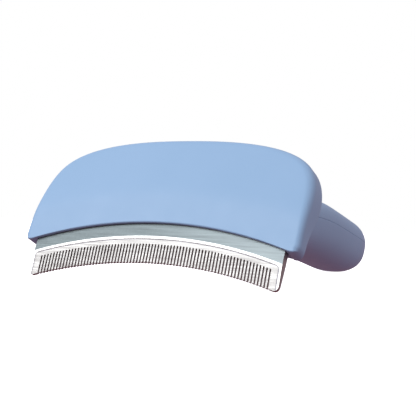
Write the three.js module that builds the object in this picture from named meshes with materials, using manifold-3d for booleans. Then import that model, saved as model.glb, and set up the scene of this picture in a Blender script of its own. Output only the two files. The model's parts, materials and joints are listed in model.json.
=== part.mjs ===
// Deshedding tool: a fine steel comb in a wide moulded head, with an arched two-shell handle and a
// sprung push button that drives a hair ejector bar down behind the teeth.
// Millimetres. Every piece is modelled in the comb plate's own frame: X across the comb, Y from the
// plate's front face back towards the handle, Z up the plate. The finished group is then tilted as
// the tool stands by itself, on the comb's two end lands and the tail of the handle, with +Z up.
import * as THREE from "three";
import { LoftGeometry } from "three/addons/geometries/LoftGeometry.js";
import { mergeVertices } from "three/addons/utils/BufferGeometryUtils.js";
import Module from "manifold-3d";

const wasm = await Module();
wasm.setup();

// ---- driving dimensions -------------------------------------------------------------------------
const GAP = 0.3; // clearance between pieces that touch
const ARC_R = 165; // radius of the hollow arc that the teeth and the head's lower edge follow

const COMB = {
  halfWidth: 50.3, // a comb of the four inch class
  thick: 3.0,
  top: 19, // the hidden upper edge, measured like the teeth and parallel to them
  slots: 74,
  pitch: 1.27,
  slotWidth: 0.62,
  slotTop: 3.3, // tooth roots, measured up from the middle of the teeth
  tip: -3.5, // tooth tips
  ridge: 6.1, // where the ground front begins
  frontFall: 0.12, // how far the ground front falls back for each millimetre down
  backFall: 0.07,
  landRadius: 1.6,
};

const HEAD = {
  halfWidth: 55.6,
  side: 5, // height where the crown begins
  crown: 42, // height of the crown above it
  sidePower: 2.5,
  crownPower: 5.2,
  edge: 10.8, // lower edge above the middle of the teeth
  corner: 2.6,
  fillet: 4,
  face: -1.5, // the lower face lies this far in front of the comb plate
  creaseTop: 22,
  creaseR: 210,
  recline: 0.2, // how far the face falls back for each millimetre above the crease
  wall: 1.2,
  sideWall: 2,
  rim: 10, // depth of the rear rim
  rimDrop: 5.9, // how much shallower it is at the lower corners
  rimStart: 4,
  rimSpan: 22,
  backDepth: 14.6, // the back's deepest point
  centreZ: 25, // the outline is drawn round this height
};

// Stations along the handle: distance behind the comb, height of the centre, half width, half height.
const HANDLE = [
  [8, 25.5, 13, 12],
  [18, 26.6, 12.6, 12.6],
  [30, 29.6, 12.4, 13.2],
  [44, 35.2, 12.6, 13.2],
  [60, 42.2, 12.8, 12.8],
  [78, 49.6, 13.6, 13.2],
  [96, 56.6, 14.3, 13.8],
  [114, 62.2, 14.7, 14.2],
  [132, 66.8, 14.8, 14.4],
  [148, 70.3, 14.6, 14.3],
  [157, 72.1, 13.6, 13.3],
  [163, 73.2, 11.8, 11.6],
  [168, 74, 8.8, 8.8],
  [170.6, 74.4, 5.6, 5.6],
  [171.6, 74.5, 2.4, 2.4],
];
const HANDLE_WALL = 2.4;
const HANDLE_POWER = 2.3; // squareness of the handle's section
const SPLIT_RISE = 3; // the seam lies this far above the handle's centre line
const NECK_END = 24; // the lower shell starts here, behind the head

const HOLDER = { halfWidth: 43, front: COMB.thick + GAP, back: 7.4, low: 10.2, high: 18.4 };
const BLADE_SCREW = { x: [-33, 0, 33], rise: 14.9, head: 2.6, shank: 1.35, length: 6.4 };
const EJECTOR = {
  halfWidth: 48.4,
  front: COMB.thick + 0.35,
  thick: 1.2,
  low: 4.3,
  high: 8.8,
  flangeHalf: 21,
  flangeBack: 11,
};
const CARRIAGE = {
  front: 7.9,
  back: 11,
  half: 9,
  low: 8.6,
  bridge: 18.4,
  legHalf: 2.5,
  legX: 16,
  legY: 9.45,
  armLow: 30,
  armHigh: 32.6,
};
const BUTTON = { y: 30, halfX: 8, halfY: 6, top: 52.5, armTop: CARRIAGE.armHigh + GAP };
const PIN = { x: 25, y: 8.9, radius: 1.1, low: 12.2, high: 31.2 };
const SHELF = { half: 3.4, front: 6.8, low: [11.4, 29.5], thick: 2.2 };
const SPRING = { coil: 1.75, wire: 0.3, turns: 5, low: 13.9, high: 26.7 };
const EAR = { low: 27, high: 29.2, half: 3.2, front: 6.9, back: 11 };
const COVER_SCREW = { x: [-42, 42], z: 24, head: 2.75, shank: 1.3 };
const HANDLE_SCREW = { y: [64, 104, 144], head: 2.8, shank: 1.3, boss: 3.6, well: 4.6 };

// ---- finishes -----------------------------------------------------------------------------------
const finish = (color, roughness, metalness = 0) =>
  new THREE.MeshStandardMaterial({ color, roughness, metalness });
const BLUE = 0x9dbee3;
const STEEL = 0xb9c1c5;
const GREY = 0x565c66;

// ---- solids -------------------------------------------------------------------------------------
// A closed geometry as a manifold solid: only positions are kept, merged where they meet.
function solid(geometry) {
  const bare = geometry.index ? geometry.toNonIndexed() : geometry.clone();
  bare.deleteAttribute("normal");
  bare.deleteAttribute("uv");
  const merged = mergeVertices(bare, 1e-4);
  const index = merged.index.array;
  const kept = [];
  for (let i = 0; i < index.length; i += 3) {
    const [a, b, c] = [index[i], index[i + 1], index[i + 2]];
    if (a !== b && b !== c && c !== a) kept.push(a, b, c);
  }
  const made = new wasm.Manifold(
    new wasm.Mesh({
      numProp: 3,
      vertProperties: merged.attributes.position.array,
      triVerts: new Uint32Array(kept),
    }),
  );
  if (made.volume() <= 0) throw new Error("a solid is inside out");
  return made;
}

function geometryOf(shape) {
  const mesh = shape.getMesh();
  const geometry = new THREE.BufferGeometry();
  geometry.setAttribute("position", new THREE.BufferAttribute(new Float32Array(mesh.vertProperties), 3));
  geometry.setIndex(new THREE.BufferAttribute(new Uint32Array(mesh.triVerts), 1));
  geometry.computeVertexNormals();
  return geometry;
}

const cut = (shape, cutters) => cutters.reduce((left, cutter) => left.subtract(cutter), shape);
const join = (shape, others) => others.reduce((sum, other) => sum.add(other), shape);

function box(x0, x1, y0, y1, z0, z1) {
  const geometry = new THREE.BoxGeometry(x1 - x0, y1 - y0, z1 - z0);
  geometry.translate((x0 + x1) / 2, (y0 + y1) / 2, (z0 + z1) / 2);
  return solid(geometry);
}

// A shape drawn with x across and y up, extruded from front to back between two depths.
function plate(shape, y0, y1) {
  const geometry = new THREE.ExtrudeGeometry(shape, { depth: y1 - y0, bevelEnabled: false });
  geometry.rotateX(Math.PI / 2);
  geometry.translate(0, y1, 0);
  return solid(geometry);
}

// A turned solid from a profile of [radius, distance] points, its axis along "y" or "z" from base.
function turned(profile, axis, base, sides = 20) {
  const geometry = new THREE.LatheGeometry(
    profile.map(([r, t]) => new THREE.Vector2(r, t)),
    sides,
  );
  if (axis === "z") geometry.rotateX(Math.PI / 2);
  geometry.translate(...base);
  return solid(geometry);
}

const rod = (axis, base, radius, length, sides = 20) =>
  turned([[0, 0], [radius, 0], [radius, length], [0, length]], axis, base, sides);

const shapeOf = (points) => new THREE.Shape(points.map(([x, z]) => new THREE.Vector2(x, z)));

const sag = (x) => ARC_R - Math.sqrt(ARC_R * ARC_R - x * x);

// Points along an arc parallel to the teeth, at the height s above the middle of the teeth.
function arcPoints(s, x0, x1, steps) {
  const points = [];
  for (let i = 0; i <= steps; i += 1) {
    const x = x0 + ((x1 - x0) * i) / steps;
    points.push([x, s - sag(x)]);
  }
  return points;
}

// A band between two heights that follows the teeth's arc.
function arcBand(low, high, half, y0, y1, steps = 24) {
  const points = [...arcPoints(low, -half, half, steps), ...arcPoints(high, half, -half, steps)];
  return plate(shapeOf(points), y0, y1);
}

// Heights of the blade screws, on an arc parallel to the teeth.
const bladeScrewZ = (x) => BLADE_SCREW.rise - sag(x);

// ---- the comb -----------------------------------------------------------------------------------
function combOutline() {
  const { halfWidth, slots, pitch, slotWidth, slotTop, tip, top, landRadius } = COMB;
  const points = [];
  const lowCorner = halfWidth - landRadius;
  for (let i = 0; i <= 4; i += 1) {
    const angle = Math.PI + (Math.PI / 8) * i;
    const x = -lowCorner + landRadius * Math.cos(angle);
    points.push([x, tip + landRadius - sag(lowCorner) + landRadius * Math.sin(angle)]);
  }
  for (let i = 0; i < slots; i += 1) {
    const x = (i - (slots - 1) / 2) * pitch;
    const [left, right] = [x - slotWidth / 2, x + slotWidth / 2];
    points.push([left, tip - sag(left)], [left, slotTop - sag(left)]);
    points.push([right, slotTop - sag(right)], [right, tip - sag(right)]);
  }
  for (let i = 0; i <= 4; i += 1) {
    const angle = 1.5 * Math.PI + (Math.PI / 8) * i;
    const x = lowCorner + landRadius * Math.cos(angle);
    points.push([x, tip + landRadius - sag(lowCorner) + landRadius * Math.sin(angle)]);
  }
  return shapeOf([...points, ...arcPoints(top, halfWidth, -halfWidth, 12)]);
}

// The wedge that grinding takes off one side of the plate, below the ridge.
function grindingWedge(face, fall, outward) {
  const { halfWidth, ridge, tip } = COMB;
  const low = tip - 2;
  const sections = [];
  for (let i = 0; i <= 20; i += 1) {
    const x = -halfWidth - 1 + ((2 * halfWidth + 2) * i) / 20;
    const deep = face - outward * fall * (ridge - low);
    const ring = [
      [face, ridge],
      [deep, low],
      [face + outward * 3, low],
      [face + outward * 3, ridge],
    ].map(([y, s]) => new THREE.Vector3(x, y, s - sag(x)));
    sections.push(outward < 0 ? ring.reverse() : ring);
  }
  return solid(new LoftGeometry(sections, { capStart: true, capEnd: true }));
}

function combBlade() {
  const { thick, frontFall, backFall } = COMB;
  const blank = plate(combOutline(), 0, thick);
  const { head, shank } = BLADE_SCREW;
  const sink = [[0, -1], [head + GAP, -1], [head + GAP, 0.1], [shank + 0.4, 1.9], [shank + 0.4, 4], [0, 4]];
  const holes = BLADE_SCREW.x.map((x) => turned(sink, "y", [x, 0, bladeScrewZ(x)]));
  const wedges = [grindingWedge(0, frontFall, -1), grindingWedge(thick, backFall, 1)];
  return cut(blank, [...wedges, ...holes]);
}

const bladeScrew = (x) => {
  const { head, shank, length } = BLADE_SCREW;
  const z = bladeScrewZ(x);
  const profile = [[0, 0.25], [head, 0.25], [shank, 2.05], [shank, length], [0, length + 0.8]];
  const slot = box(x - head, x + head, -1, 0.75, z - 0.35, z + 0.35);
  return turned(profile, "y", [x, 0, z]).subtract(slot);
};

function bladeHolder() {
  const { halfWidth, front, back, low, high } = HOLDER;
  const bar = arcBand(low, high, halfWidth, front, back, 16);
  const bosses = BLADE_SCREW.x.map((x) => rod("y", [x, front + 1, bladeScrewZ(x)], 3.2, back + 0.6 - front));
  const holes = BLADE_SCREW.x.map((x) => rod("y", [x, 0, bladeScrewZ(x)], BLADE_SCREW.shank + GAP, 20));
  const middle = box(-CARRIAGE.half - 1, CARRIAGE.half + 1, CARRIAGE.front - GAP, 30, 0, 40);
  const notches = [-PIN.x, PIN.x].map((x) => box(x - 4, x + 4, SHELF.front - GAP, 10, 0, 40));
  return cut(join(bar, bosses), [...holes, ...notches, middle]);
}

// ---- the head -----------------------------------------------------------------------------------
// How far a point lies outside the head's front outline: a crown with full shoulders, closed below
// by the hollow arc, with rounded lower corners.
function outside(x, z) {
  const { halfWidth, side, crown, sidePower, crownPower, edge, corner } = HEAD;
  const level = (Math.abs(x) / halfWidth) ** sidePower + (Math.max(z - side, 0) / crown) ** crownPower;
  const crownSide = ((level - 1) * halfWidth) / sidePower;
  const belowEdge = edge - sag(x) - z;
  const [a, b] = [crownSide + corner, belowEdge + corner];
  if (a > 0 && b > 0) return Math.hypot(a, b) - corner;
  return Math.max(crownSide, belowEdge);
}

function outlineRadius(angle) {
  let [inner, outer] = [0, 80];
  for (let i = 0; i < 40; i += 1) {
    const r = (inner + outer) / 2;
    const far = outside(r * Math.cos(angle), HEAD.centreZ + r * Math.sin(angle));
    if (far > 0) outer = r;
    else inner = r;
  }
  return inner;
}

// Directions of the outline's points, closer together round the lower corners.
const OUTLINE_ANGLES = (() => {
  const corner = -0.375;
  const right = [];
  for (let i = 0; i < 8; i += 1) right.push(-Math.PI / 2 + ((Math.PI / 2 + corner - 0.06) * i) / 8);
  for (let i = 0; i < 5; i += 1) right.push(corner - 0.06 + (0.12 * i) / 5);
  for (let i = 0; i <= 15; i += 1) right.push(corner + 0.06 + ((Math.PI / 2 - corner - 0.06) * i) / 15);
  const left = right.slice(1, -1).map((angle) => Math.PI - angle);
  return [...right, ...left.reverse()];
})();
const OUTLINE = OUTLINE_ANGLES.map((angle) => ({ angle, r: outlineRadius(angle) }));

// One ring of the head: the outline set in by a distance and scaled, each point at its own depth.
function headRing(inset, scale, depth) {
  return OUTLINE.map(({ angle, r }) => {
    const reach = (r - inset) * scale;
    const x = reach * Math.cos(angle);
    const z = HEAD.centreZ + reach * Math.sin(angle);
    return new THREE.Vector3(x, depth(x, z), z);
  });
}

// A solid skinned through rings of the head, each end closed to a point on the head's middle line.
function headLoft(rings) {
  const closing = (ring) => {
    const depth = ring.reduce((sum, point) => sum + point.y, 0) / ring.length;
    return ring.map(() => new THREE.Vector3(0, depth, HEAD.centreZ));
  };
  return solid(new LoftGeometry([closing(rings[0]), ...rings, closing(rings.at(-1))].reverse()));
}

function faceDepth(x, z) {
  const { face, recline, creaseTop, creaseR } = HEAD;
  const crease = creaseTop - (creaseR - Math.sqrt(creaseR * creaseR - x * x));
  return face + recline * Math.max(z - crease, 0);
}

// The rim runs at one depth round the head and comes forward only at the lower corners.
function rimDepth(x, z) {
  const t = Math.min(Math.max((z - HEAD.rimStart) / HEAD.rimSpan, 0), 1);
  const low = 1 - t * t * (3 - 2 * t);
  return HEAD.rim - HEAD.rimDrop * low * (Math.abs(x) / HEAD.halfWidth) ** 10;
}

// The back swells from the rim to its deepest point round the neck.
function backDepth(x, z) {
  const reach = Math.min(Math.hypot(x / HEAD.halfWidth, (z - HEAD.centreZ) / 23), 1);
  const rim = rimDepth(x, z);
  return rim + (HEAD.backDepth - rim) * (1 - reach ** 4);
}

function headCover() {
  const { fillet, wall, sideWall } = HEAD;
  const deeper = (depth, more) => (x, z) => depth(x, z) + more;
  const outer = headLoft([
    headRing(0, 0.3, faceDepth),
    headRing(0, 0.7, faceDepth),
    headRing(fillet, 1, faceDepth),
    headRing(fillet * 0.3, 1, deeper(faceDepth, fillet * 0.3)),
    headRing(0, 1, deeper(faceDepth, fillet)),
    headRing(0, 1, deeper(rimDepth, -0.5)),
    headRing(0.5, 1, rimDepth),
  ]);
  const inner = headLoft([
    headRing(0, 0.3, deeper(faceDepth, wall)),
    headRing(fillet + 0.5, 1, deeper(faceDepth, wall)),
    headRing(sideWall, 1, deeper(faceDepth, fillet * 0.9)),
    headRing(sideWall, 1, () => 30),
  ]);
  const mouth = box(-COMB.halfWidth - GAP, COMB.halfWidth + GAP, -GAP, 30, -10, COMB.top + GAP);
  const bosses = COVER_SCREW.x.map((x) => rod("y", [x, 0.4, COVER_SCREW.z], 3.1, 6.6));
  const holes = COVER_SCREW.x.map((x) => rod("y", [x, 2.2, COVER_SCREW.z], COVER_SCREW.shank + GAP, 20));
  return cut(join(cut(outer, [inner]), bosses), [mouth, ...holes]);
}

// ---- the handle ---------------------------------------------------------------------------------
// A section across the handle: a squarish oval.
function handleRing([y, centre, halfX, halfZ], shrink, sides = 28) {
  const ring = [];
  const power = 2 / HANDLE_POWER;
  for (let i = 0; i < sides; i += 1) {
    const angle = (2 * Math.PI * i) / sides;
    const [c, s] = [Math.cos(angle), Math.sin(angle)];
    const x = (halfX - shrink) * Math.sign(c) * Math.abs(c) ** power;
    ring.push(new THREE.Vector3(x, y, centre + (halfZ - shrink) * Math.sign(s) * Math.abs(s) ** power));
  }
  return ring;
}

// A solid skinned through handle stations, each end closed to a point on the centre line.
function handleLoft(stations, shrink) {
  const closing = ([y, centre]) => handleRing([y, centre, shrink, shrink], shrink);
  const rings = stations.map((station) => handleRing(station, shrink));
  return solid(new LoftGeometry([closing(stations[0]), ...rings, closing(stations.at(-1))].reverse()));
}

const handleSolid = handleLoft(HANDLE, 0);
const handleHollow = handleLoft(HANDLE.filter(([, , , halfZ]) => halfZ > 11), HANDLE_WALL);

// The space behind the neck and below the seam, which follows the handle's centre line.
function belowSeam(rise, start) {
  const sections = HANDLE.map(([y, centre]) => {
    const seam = centre + SPLIT_RISE + rise;
    const ring = [[-40, seam - 60], [40, seam - 60], [40, seam], [-40, seam]];
    return ring.map(([x, z]) => new THREE.Vector3(x, y, z)).reverse();
  });
  sections.at(-1).forEach((point) => (point.y += 5));
  const below = solid(new LoftGeometry(sections, { capStart: true, capEnd: true }));
  return below.intersect(box(-30, 30, start, 190, -60, 120));
}

// One column of the handle's stations, read at a distance behind the comb.
function along(y, column) {
  const i = Math.max(1, HANDLE.findIndex(([station]) => station >= y));
  const [before, after] = [HANDLE[i - 1], HANDLE[i]];
  return before[column] + ((after[column] - before[column]) * (y - before[0])) / (after[0] - before[0]);
}
const centreAt = (y) => along(y, 1);

// An upright bar of oblong section with round ends, centred at a distance behind the comb.
const oblong = (halfX, halfY, y, z0, z1) => {
  const shape = new THREE.Shape();
  shape.absarc(halfX - halfY, 0, halfY, -Math.PI / 2, Math.PI / 2);
  shape.absarc(halfY - halfX, 0, halfY, Math.PI / 2, 1.5 * Math.PI);
  const options = { depth: z1 - z0, bevelEnabled: false, curveSegments: 8 };
  const geometry = new THREE.ExtrudeGeometry(shape, options);
  geometry.translate(0, y, z0);
  return solid(geometry);
};

function handleUpper() {
  const deeper = (depth, more) => (x, z) => depth(x, z) + more;
  const dish = headLoft([
    headRing(HEAD.sideWall + GAP, 1, deeper(rimDepth, -2.5)),
    headRing(HEAD.sideWall + GAP, 1, deeper(rimDepth, GAP)),
    headRing(0.7, 1, deeper(rimDepth, GAP)),
    headRing(1, 1, deeper(rimDepth, 1)),
    headRing(2.6, 1, deeper(rimDepth, 2.2)),
    headRing(2.6, 0.85, backDepth),
    headRing(2.6, 0.6, backDepth),
    headRing(2.6, 0.3, backDepth),
  ]);
  const room = headLoft([
    headRing(4.1, 1, () => -10),
    headRing(4.1, 1, deeper(rimDepth, 0.6)),
    headRing(4.1, 0.85, deeper(backDepth, -2)),
    headRing(4.1, 0.3, deeper(backDepth, -2)),
  ]);
  const mouths = [
    [COMB.halfWidth + GAP, EJECTOR.front + EJECTOR.thick + 0.5],
    [HOLDER.halfWidth + 1, HOLDER.back + 2],
    [EJECTOR.flangeHalf + 1, EJECTOR.flangeBack + 0.5],
  ].map(([half, back]) => box(-half, half, -10, back, -10, COMB.top + GAP));
  const upper = handleSolid.subtract(belowSeam(GAP / 2, NECK_END));
  const shelves = [-1, 1].flatMap((side) => {
    const { half, front, low, thick } = SHELF;
    return low.map((z) => box(side * PIN.x - half, side * PIN.x + half, front, 15, z, z + thick));
  });
  const pads = COVER_SCREW.x.map((x) => rod("y", [x, 7.4, COVER_SCREW.z], 4.2, 6));
  const bosses = HANDLE_SCREW.y.map((y) => {
    const seam = centreAt(y) + SPLIT_RISE + GAP / 2;
    return rod("z", [0, y, seam], HANDLE_SCREW.boss, along(y, 3) - SPLIT_RISE - HANDLE_WALL + 0.3);
  });
  const holes = [
    ...COVER_SCREW.x.map((x) => rod("y", [x, 0, COVER_SCREW.z], COVER_SCREW.shank + GAP, 30)),
    ...COVER_SCREW.x.map((x) => rod("y", [x, 9, COVER_SCREW.z], COVER_SCREW.head + GAP, 20)),
    ...HANDLE_SCREW.y.map((y) => {
      const seam = centreAt(y) + SPLIT_RISE;
      return rod("z", [0, y, seam - 2], HANDLE_SCREW.shank + GAP, 9.5);
    }),
    ...[-1, 1].map((side) => rod("z", [side * PIN.x, PIN.y, PIN.low - GAP], PIN.radius + GAP, 30)),
    oblong(BUTTON.halfX + GAP, BUTTON.halfY + GAP, BUTTON.y, BUTTON.armTop - 6, 70),
  ];
  const pockets = [-1, 1].map((side) =>
    rod("z", [side * PIN.x, PIN.y, SHELF.low[0] + SHELF.thick], SPRING.coil + SPRING.wire + GAP, 22),
  );
  const shell = cut(dish.add(upper), [room, handleHollow, ...mouths, ...pockets]);
  const backPlane = headLoft([
    headRing(2.6, 0.99, () => 4),
    headRing(2.6, 0.97, deeper(backDepth, -0.8)),
    headRing(2.6, 0.3, deeper(backDepth, -0.8)),
  ]);
  const inside = [...shelves, ...pads].map((piece) => piece.intersect(backPlane));
  return cut(join(shell, [...inside, ...bosses]), holes);
}

function handleLower() {
  const lower = handleSolid.intersect(belowSeam(-GAP / 2, NECK_END + GAP));
  const wells = HANDLE_SCREW.y.map((y) => {
    const seam = centreAt(y) + SPLIT_RISE - GAP / 2;
    return rod("z", [0, y, seam - 30], HANDLE_SCREW.well, 30).intersect(handleSolid);
  });
  const holes = HANDLE_SCREW.y.flatMap((y) => {
    const seam = centreAt(y) + SPLIT_RISE;
    return [
      rod("z", [0, y, seam - 30], HANDLE_SCREW.shank + GAP, 40),
      rod("z", [0, y, seam - 40], HANDLE_SCREW.head + GAP, 35),
    ];
  });
  return cut(join(cut(lower, [handleHollow]), wells), holes);
}

function handleScrew(y) {
  const { head, shank } = HANDLE_SCREW;
  const base = centreAt(y) + SPLIT_RISE - 5 - 2.2;
  const profile = [[0, 0], [head - 0.5, 0], [head, 0.6], [head, 1.9], [shank, 1.9], [shank, 12], [0, 12.8]];
  const recess = box(-head, head, y - 0.4, y + 0.4, base - 1, base + 0.9);
  return turned(profile, "z", [0, y, base]).subtract(recess);
}

function coverScrew(x) {
  const { head, shank, z } = COVER_SCREW;
  const profile = [[0, 0], [shank, 0.8], [shank, 6.2], [head, 6.2], [head, 7.6], [head - 0.6, 8.1], [0, 8.1]];
  const base = 3;
  const recess = box(x - 0.4, x + 0.4, base + 7.2, base + 12, z - head, z + head);
  return turned(profile, "y", [x, base, z]).subtract(recess);
}

// ---- the ejector --------------------------------------------------------------------------------
function ejectorBar() {
  const { halfWidth, front, thick, low, high, flangeHalf, flangeBack } = EJECTOR;
  const strip = arcBand(low, high, halfWidth, front, front + thick);
  const flange = arcBand(high - 1.2, high, flangeHalf, front, flangeBack, 10);
  const holes = [-1, 1].map((side) => rod("z", [side * CARRIAGE.legX, CARRIAGE.legY, 0], 1.25, 20));
  return cut(join(strip, [flange]), holes);
}

function ejectorCarriage() {
  const { front, back, half, low, bridge, legHalf, legX, legY, armLow, armHigh } = CARRIAGE;
  const body = box(-half, half, front, back, bridge, armHigh);
  const beam = box(-legX - legHalf, legX + legHalf, front, back, bridge, bridge + 3.6);
  const legs = [-1, 1].map((side) => {
    const x = side * legX;
    return box(x - legHalf, x + legHalf, front, back, low, bridge + 1);
  });
  const ears = [-1, 1].map((side) => {
    const [a, b] = [side * (half - 1), side * (PIN.x + EAR.half)];
    return box(Math.min(a, b), Math.max(a, b), EAR.front, EAR.back, EAR.low, EAR.high);
  });
  const arm = box(-5, 5, front, BUTTON.y + 4, armLow, armHigh);
  const holes = [
    ...[-1, 1].map((side) => rod("z", [side * PIN.x, PIN.y, 20], PIN.radius + 0.25, 20)),
    ...[-1, 1].map((side) => rod("z", [side * legX, legY, 0], 1.05, 15)),
    rod("z", [0, BUTTON.y, 20], 1.5, 20),
  ];
  return cut(join(body, [beam, ...legs, ...ears, arm]), holes);
}

function ejectorScrew(side) {
  const x = side * CARRIAGE.legX;
  const top = EJECTOR.high - 1.2 - sag(x) - 0.35;
  const profile = [[0, 0], [1.7, 0], [2, 0.4], [2, 1.2], [0.75, 1.2], [0.75, 6.4], [0, 6.9]];
  return turned(profile, "z", [x, CARRIAGE.legY, top - 1.2 - 0.15], 16);
}

function pushButton() {
  const { y, halfX, halfY, top, armTop } = BUTTON;
  const stem = oblong(halfX, halfY, y, armTop, top - 1.2);
  const crown = oblong(halfX - 1, halfY - 1, y, top - 1.2, top);
  const pilot = rod("z", [0, y, armTop - 1], 1.5, 7);
  return cut(join(stem, [crown]), [pilot]);
}

function buttonScrew() {
  const base = CARRIAGE.armLow - GAP - 1.2;
  const profile = [[0, 0], [2.2, 0], [2.6, 0.4], [2.6, 1.2], [1.1, 1.2], [1.1, 8], [0, 8.6]];
  return turned(profile, "z", [0, BUTTON.y, base], 16);
}

const guidePin = (side) => rod("z", [side * PIN.x, PIN.y, PIN.low], PIN.radius, PIN.high - PIN.low, 16);

function returnSpring(side) {
  const { coil, wire, turns, low, high } = SPRING;
  const rise = high - low - 2 * wire;
  class Helix extends THREE.Curve {
    getPoint(t, target = new THREE.Vector3()) {
      const angle = 2 * Math.PI * turns * t;
      return target.set(coil * Math.cos(angle), coil * Math.sin(angle), low + wire + rise * t);
    }
  }
  const round = new THREE.Shape().absarc(0, 0, wire, 0, 2 * Math.PI);
  const options = { steps: turns * 9, extrudePath: new Helix(), curveSegments: 3, bevelEnabled: false };
  const geometry = new THREE.ExtrudeGeometry(round, options);
  geometry.translate(side * PIN.x, PIN.y, 0);
  return solid(geometry);
}

// ---- the assembly -------------------------------------------------------------------------------
const tool = new THREE.Group();

function add(name, shape, material) {
  const mesh = new THREE.Mesh(geometryOf(shape), material);
  mesh.name = name;
  tool.add(mesh);
  return mesh;
}

const blade = add("comb_blade", combBlade(), finish(STEEL, 0.32, 1));
add("blade_holder", bladeHolder(), finish(GREY, 0.6));
BLADE_SCREW.x.forEach((x, i) => add(`blade_screw_${i + 1}`, bladeScrew(x), finish(STEEL, 0.3, 1)));
add("head_cover", headCover(), finish(BLUE, 0.45));
const handle = add("handle_upper_shell", handleUpper(), finish(BLUE, 0.45));
const tail = add("handle_lower_shell", handleLower(), finish(BLUE, 0.45));
COVER_SCREW.x.forEach((x, i) => add(`cover_screw_${i + 1}`, coverScrew(x), finish(STEEL, 0.3, 1)));
HANDLE_SCREW.y.forEach((y, i) => add(`handle_screw_${i + 1}`, handleScrew(y), finish(STEEL, 0.3, 1)));
add("ejector_bar", ejectorBar(), finish(STEEL, 0.35, 1));
add("ejector_carriage", ejectorCarriage(), finish(GREY, 0.6));
[-1, 1].forEach((side, i) => {
  add(`ejector_screw_${i + 1}`, ejectorScrew(side), finish(STEEL, 0.3, 1));
  add(`guide_pin_${i + 1}`, guidePin(side), finish(STEEL, 0.25, 1));
  add(`return_spring_${i + 1}`, returnSpring(side), finish(STEEL, 0.3, 1));
});
add("push_button", pushButton(), finish(GREY, 0.5));
add("button_screw", buttonScrew(), finish(STEEL, 0.3, 1));

// The tilt at which the comb's end lands and the handle's tail touch the same level surface.
function lowest(mesh, tilt) {
  const { array } = mesh.geometry.attributes.position;
  let low = Infinity;
  for (let i = 0; i < array.length; i += 3)
    low = Math.min(low, array[i + 2] * Math.cos(tilt) - array[i + 1] * Math.sin(tilt));
  return low;
}

let [flat, steep] = [0, Math.PI / 4];
for (let i = 0; i < 40; i += 1) {
  const tilt = (flat + steep) / 2;
  if (lowest(tail, tilt) > lowest(blade, tilt)) flat = tilt;
  else steep = tilt;
}
tool.rotation.x = -flat;

const part = new THREE.Group();
part.add(tool);
const bounds = new THREE.Box3().setFromObject(part, true);
part.position.set(0, -(bounds.min.y + bounds.max.y) / 2, -bounds.min.z);

export default part;
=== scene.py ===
"""Deshedding tool: a fine steel comb in a wide moulded head, with an arched handle and an ejector button.

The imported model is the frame. Shapes here are worked out in the comb plate's own millimetres (X across
the comb, Y from its front face back towards the handle, Z up the plate) and then placed in the frame.
"""

import json
import logging
from dataclasses import dataclass, field
from enum import Enum

import bmesh
import bpy
import numpy as np
from mathutils import Matrix, Vector


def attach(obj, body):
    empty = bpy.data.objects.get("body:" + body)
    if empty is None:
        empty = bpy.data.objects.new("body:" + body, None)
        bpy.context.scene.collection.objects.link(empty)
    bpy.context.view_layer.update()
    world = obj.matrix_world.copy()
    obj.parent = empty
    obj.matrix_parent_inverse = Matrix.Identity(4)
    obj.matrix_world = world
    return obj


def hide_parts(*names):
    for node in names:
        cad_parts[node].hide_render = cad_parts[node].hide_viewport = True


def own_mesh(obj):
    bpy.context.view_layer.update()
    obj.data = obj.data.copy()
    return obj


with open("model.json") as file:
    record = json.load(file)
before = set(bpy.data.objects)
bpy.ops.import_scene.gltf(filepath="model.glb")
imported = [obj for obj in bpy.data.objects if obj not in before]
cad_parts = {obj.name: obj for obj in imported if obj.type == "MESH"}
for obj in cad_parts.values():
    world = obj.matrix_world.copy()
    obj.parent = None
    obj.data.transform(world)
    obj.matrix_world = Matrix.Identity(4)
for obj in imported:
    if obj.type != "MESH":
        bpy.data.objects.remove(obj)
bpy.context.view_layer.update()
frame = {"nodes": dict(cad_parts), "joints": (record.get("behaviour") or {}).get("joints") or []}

MM = 0.001
HOUSING = "housing"
EJECTOR = "ejector"
PRESS = "ejector_press"
ARC_RADIUS = 165.0  # the hollow arc that the teeth and the head's lower edge follow

log = logging.getLogger("deshedding_tool")


# ---- small mathematics --------------------------------------------------------------------------
def sag(x: np.ndarray) -> np.ndarray:
    """Drop of the teeth's arc at a distance across: R minus the root of R squared less x squared."""
    return ARC_RADIUS - np.sqrt(ARC_RADIUS**2 - np.square(x))


def smoothstep(t: np.ndarray) -> np.ndarray:
    """3t² - 2t³ of t held between 0 and 1."""
    t = np.clip(t, 0.0, 1.0)
    return t * t * (3.0 - 2.0 * t)


def round_over(depth: np.ndarray, radius: np.ndarray) -> np.ndarray:
    """Fall of a rounded edge: r minus the root of r squared less (r - depth) squared, and 0 deeper than r.

    Args:
        depth: distances inside the edge.
        radius: the edge's radius at each.

    Returns:
        How far the surface has fallen, from the radius at the edge to nothing.
    """
    left = np.clip(radius - depth, 0.0, radius)
    return radius - np.sqrt(np.maximum(radius**2 - left**2, 0.0))


def span(start: np.ndarray, end: np.ndarray, shares: np.ndarray) -> np.ndarray:
    """Rows of points that run from start to end, one row for each share of the way."""
    return start[None] + (end - start)[None] * shares.reshape(-1, *([1] * start.ndim))


def squared_oval(angles: np.ndarray, half_x: np.ndarray, half_z: np.ndarray, power: float) -> tuple:
    """A superellipse: each half size times the signed cosine or sine to the power 2/power.

    Args:
        angles: the parameter of each point.
        half_x: half widths.
        half_z: half heights.
        power: squareness, 2 for an ellipse.

    Returns:
        The points' x and z.
    """
    c, s = np.cos(angles), np.sin(angles)
    return (
        half_x * np.sign(c) * np.abs(c) ** (2.0 / power),
        half_z * np.sign(s) * np.abs(s) ** (2.0 / power),
    )


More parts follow.
